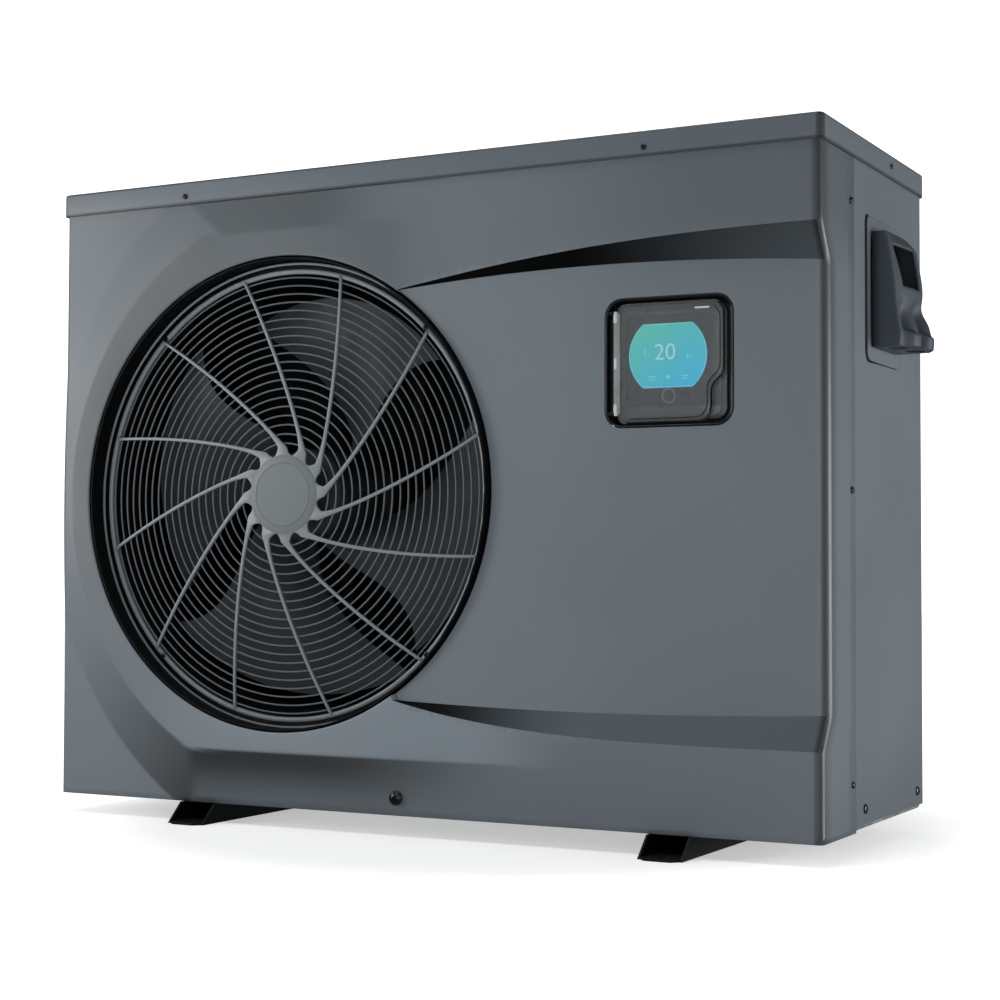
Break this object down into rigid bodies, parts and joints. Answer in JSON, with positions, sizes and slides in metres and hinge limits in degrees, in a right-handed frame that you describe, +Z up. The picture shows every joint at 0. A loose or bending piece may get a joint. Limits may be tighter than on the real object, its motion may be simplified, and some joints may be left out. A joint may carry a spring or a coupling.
{
  "type": "pool heat pump unit",
  "caption": "Outdoor pool heat pump: painted cabinet, domed fan guard in a raised round mouth, recessed display behind a hinged smoked door, side handle, water unions.",
  "frame": {"origin": "centre of the overall box, on the floor plane under the foot rails", "axes": "+X to the service side with the carry handle, +Y to the rear where the water unions are, +Z up; the fan and display face -Y"},
  "size_m": [1.046, 0.453, 0.768],
  "materials": {
    "cabinet_paint": "anthracite blue-grey satin powder coat with a fine grain",
    "guard_paint": "anthracite satin coat on the guards",
    "black_plastic": "black moulded plastic, fine texture",
    "dark_plastic": "dark slate moulded plastic, satin",
    "smoked_glass": "clear smoked polycarbonate",
    "black_glass": "gloss black front glass",
    "screen": "colour display behind glass, teal to blue",
    "rail_paint": "black powder coat",
    "galvanised": "zinc coated sheet, dull spangle",
    "coil_aluminium": "pressed fins, bright",
    "black_steel": "black enamel on steel",
    "rubber": "matt black rubber",
    "copper": "drawn copper tube, slightly dulled",
    "brass": "machined brass",
    "white_plastic": "light grey moulded plastic",
    "screw_steel": "dark coated screw steel"
  },
  "bodies": {
    "cabinet": {"top_cover": "cabinet_paint", "front_panel": "cabinet_paint", "right_side_panel": "cabinet_paint", "left_side_panel": "cabinet_paint", "rear_service_panel": "cabinet_paint", "handle_plate": "cabinet_paint", "rear_coil_guard": "guard_paint", "fan_guard": "guard_paint", "base_pan": "galvanised", "partition_panel": "galvanised", "motor_bracket": "galvanised", "coil_end_plate": "galvanised", "electronics_cover": "galvanised", "fan_orifice_ring": "black_plastic", "control_bezel": "black_plastic", "electronics_box": "black_plastic", "cable_gland": "black_plastic", "water_heat_exchanger": "black_plastic", "water_inlet_tail": "black_plastic", "water_outlet_tail": "black_plastic", "side_handle": "dark_plastic", "flow_switch": "dark_plastic", "control_board": "dark_plastic", "controller_body": "black_glass", "lcd_screen": "screen", "foot_rail_left": "rail_paint", "foot_rail_right": "rail_paint", "evaporator_coil": "coil_aluminium", "compressor": "black_steel", "accumulator": "black_steel", "fan_motor": "black_steel", "compressor_grommet_1": "rubber", "compressor_grommet_2": "rubber", "compressor_grommet_3": "rubber", "discharge_pipe": "copper", "suction_pipe": "copper", "exchanger_gas_pipe": "copper", "coil_gas_pipe": "copper", "liquid_pipe_warm": "copper", "liquid_pipe_cold": "copper", "four_way_valve": "brass", "expansion_valve": "brass", "terminal_block": "white_plastic", "door_hinge_pin": "screw_steel", "lid_screw_front_left": "screw_steel", "lid_screw_front_right": "screw_steel", "lid_screw_side": "screw_steel", "flange_screw_low": "screw_steel", "flange_screw_middle": "screw_steel", "flange_screw_high": "screw_steel", "base_screw_side_front": "screw_steel", "base_screw_side_rear": "screw_steel", "base_screw_front": "screw_steel"},
    "fan": {"fan_rotor": "black_plastic", "fan_nut": "screw_steel", "fan_shaft": "galvanised"},
    "door": {"display_door": "smoked_glass"},
    "key": {"home_key": "black_glass"},
    "inlet_nut": {"union_nut_inlet": "dark_plastic"},
    "outlet_nut": {"union_nut_outlet": "dark_plastic"}
  },
  "joints": [
    {"name": "fan_spin", "type": "hinge", "parent": "cabinet", "child": "fan", "pos_m": [-0.1965, -0.1, 0.389], "axis": [0, 1, 0], "continuous": true},
    {"name": "door_hinge", "type": "hinge", "parent": "cabinet", "child": "door", "pos_m": [0.2272, -0.17637, 0.522], "axis": [0, 0, -1], "range_deg": [0, 105]},
    {"name": "key_press", "type": "slide", "parent": "cabinet", "child": "key", "axis": [-0.042, 0.9991, 0], "range_m": [0, 0.001], "stiffness_N_per_m": 500},
    {"name": "inlet_nut_turn", "type": "hinge", "parent": "cabinet", "child": "inlet_nut", "pos_m": [0.375, 0.2, 0.13], "axis": [0, 1, 0], "continuous": true},
    {"name": "outlet_nut_turn", "type": "hinge", "parent": "cabinet", "child": "outlet_nut", "pos_m": [0.375, 0.2, 0.4], "axis": [0, 1, 0], "continuous": true}
  ]
}
